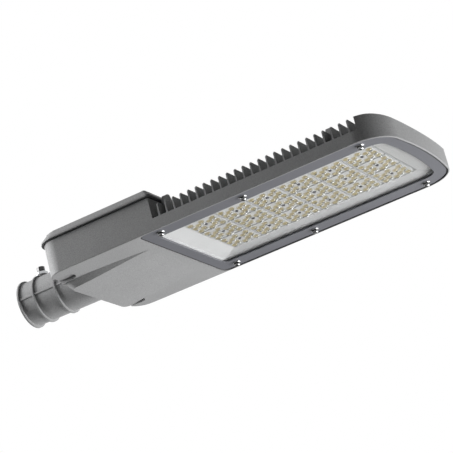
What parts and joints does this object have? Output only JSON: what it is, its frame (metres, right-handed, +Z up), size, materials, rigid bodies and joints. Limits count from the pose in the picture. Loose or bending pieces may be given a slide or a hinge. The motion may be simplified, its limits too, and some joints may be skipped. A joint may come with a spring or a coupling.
{
  "type": "led street light head",
  "caption": "Flat die-cast street light head with a pole socket, a driver box, cross fins and a framed flat glass over plates of lenses.",
  "frame": {"origin": "centre of the mouth of the pole socket", "axes": "+X along the socket's axis to the nose, +Z up, away from the glass, +Y to the left looking along +X"},
  "size_m": [0.6952, 0.2816, 0.0903],
  "materials": {
    "body_coat": "fine textured grey powder coat",
    "frame_coat": "smooth satin grey-blue powder coat",
    "black_rubber": "matt black silicone",
    "black_steel": "black oxide",
    "dark_steel": "dark zinc",
    "zinc_steel": "zinc plate",
    "stainless": "bright stainless steel",
    "clear_glass": "clear toughened glass",
    "white_plastic": "satin white",
    "board_white": "white solder mask",
    "led_yellow": "yellow phosphor",
    "lens_clear": "clear moulded optics",
    "driver_case": "plain aluminium",
    "grey_nylon": "moulded nylon",
    "black_nylon": "moulded nylon",
    "brass": "plain brass"
  },
  "bodies": {
    "root": {"housing": "body_coat", "driver_cover": "body_coat", "cover_gasket": "black_rubber", "cover_screws": "black_steel", "pole_clamp_screw": "black_steel", "clamp_lock_nut": "zinc_steel", "bezel_frame": "frame_coat", "bezel_gasket": "black_rubber", "bezel_washers": "stainless", "bezel_screws": "stainless", "glass_pane": "clear_glass", "glass_gasket": "black_rubber", "reflector": "white_plastic", "led_board_1": "board_white", "led_board_2": "board_white", "led_board_3": "board_white", "led_packages": "led_yellow", "lens_plate_screws": "dark_steel", "led_driver": "driver_case", "driver_screws": "zinc_steel", "terminal_block": "grey_nylon", "terminal_screws": "zinc_steel", "surge_protector": "grey_nylon", "surge_screws": "zinc_steel", "cable_clip": "black_nylon", "cable_clip_screws": "zinc_steel", "gland_body": "black_nylon", "gland_cap": "black_nylon", "gland_lock_nut": "black_nylon", "lead_grommet": "black_rubber", "earth_washer": "zinc_steel", "earth_screw": "brass", "lens_plate_1_1": "lens_clear", "lens_plate_1_2": "lens_clear", "lens_plate_1_3": "lens_clear", "lens_plate_2_1": "lens_clear", "lens_plate_2_2": "lens_clear", "lens_plate_2_3": "lens_clear", "lens_plate_3_1": "lens_clear", "lens_plate_3_2": "lens_clear", "lens_plate_3_3": "lens_clear", "lens_plate_4_1": "lens_clear", "lens_plate_4_2": "lens_clear", "lens_plate_4_3": "lens_clear", "lens_plate_5_1": "lens_clear", "lens_plate_5_2": "lens_clear", "lens_plate_5_3": "lens_clear", "lens_plate_6_1": "lens_clear", "lens_plate_6_2": "lens_clear", "lens_plate_6_3": "lens_clear"}
  },
  "joints": []
}
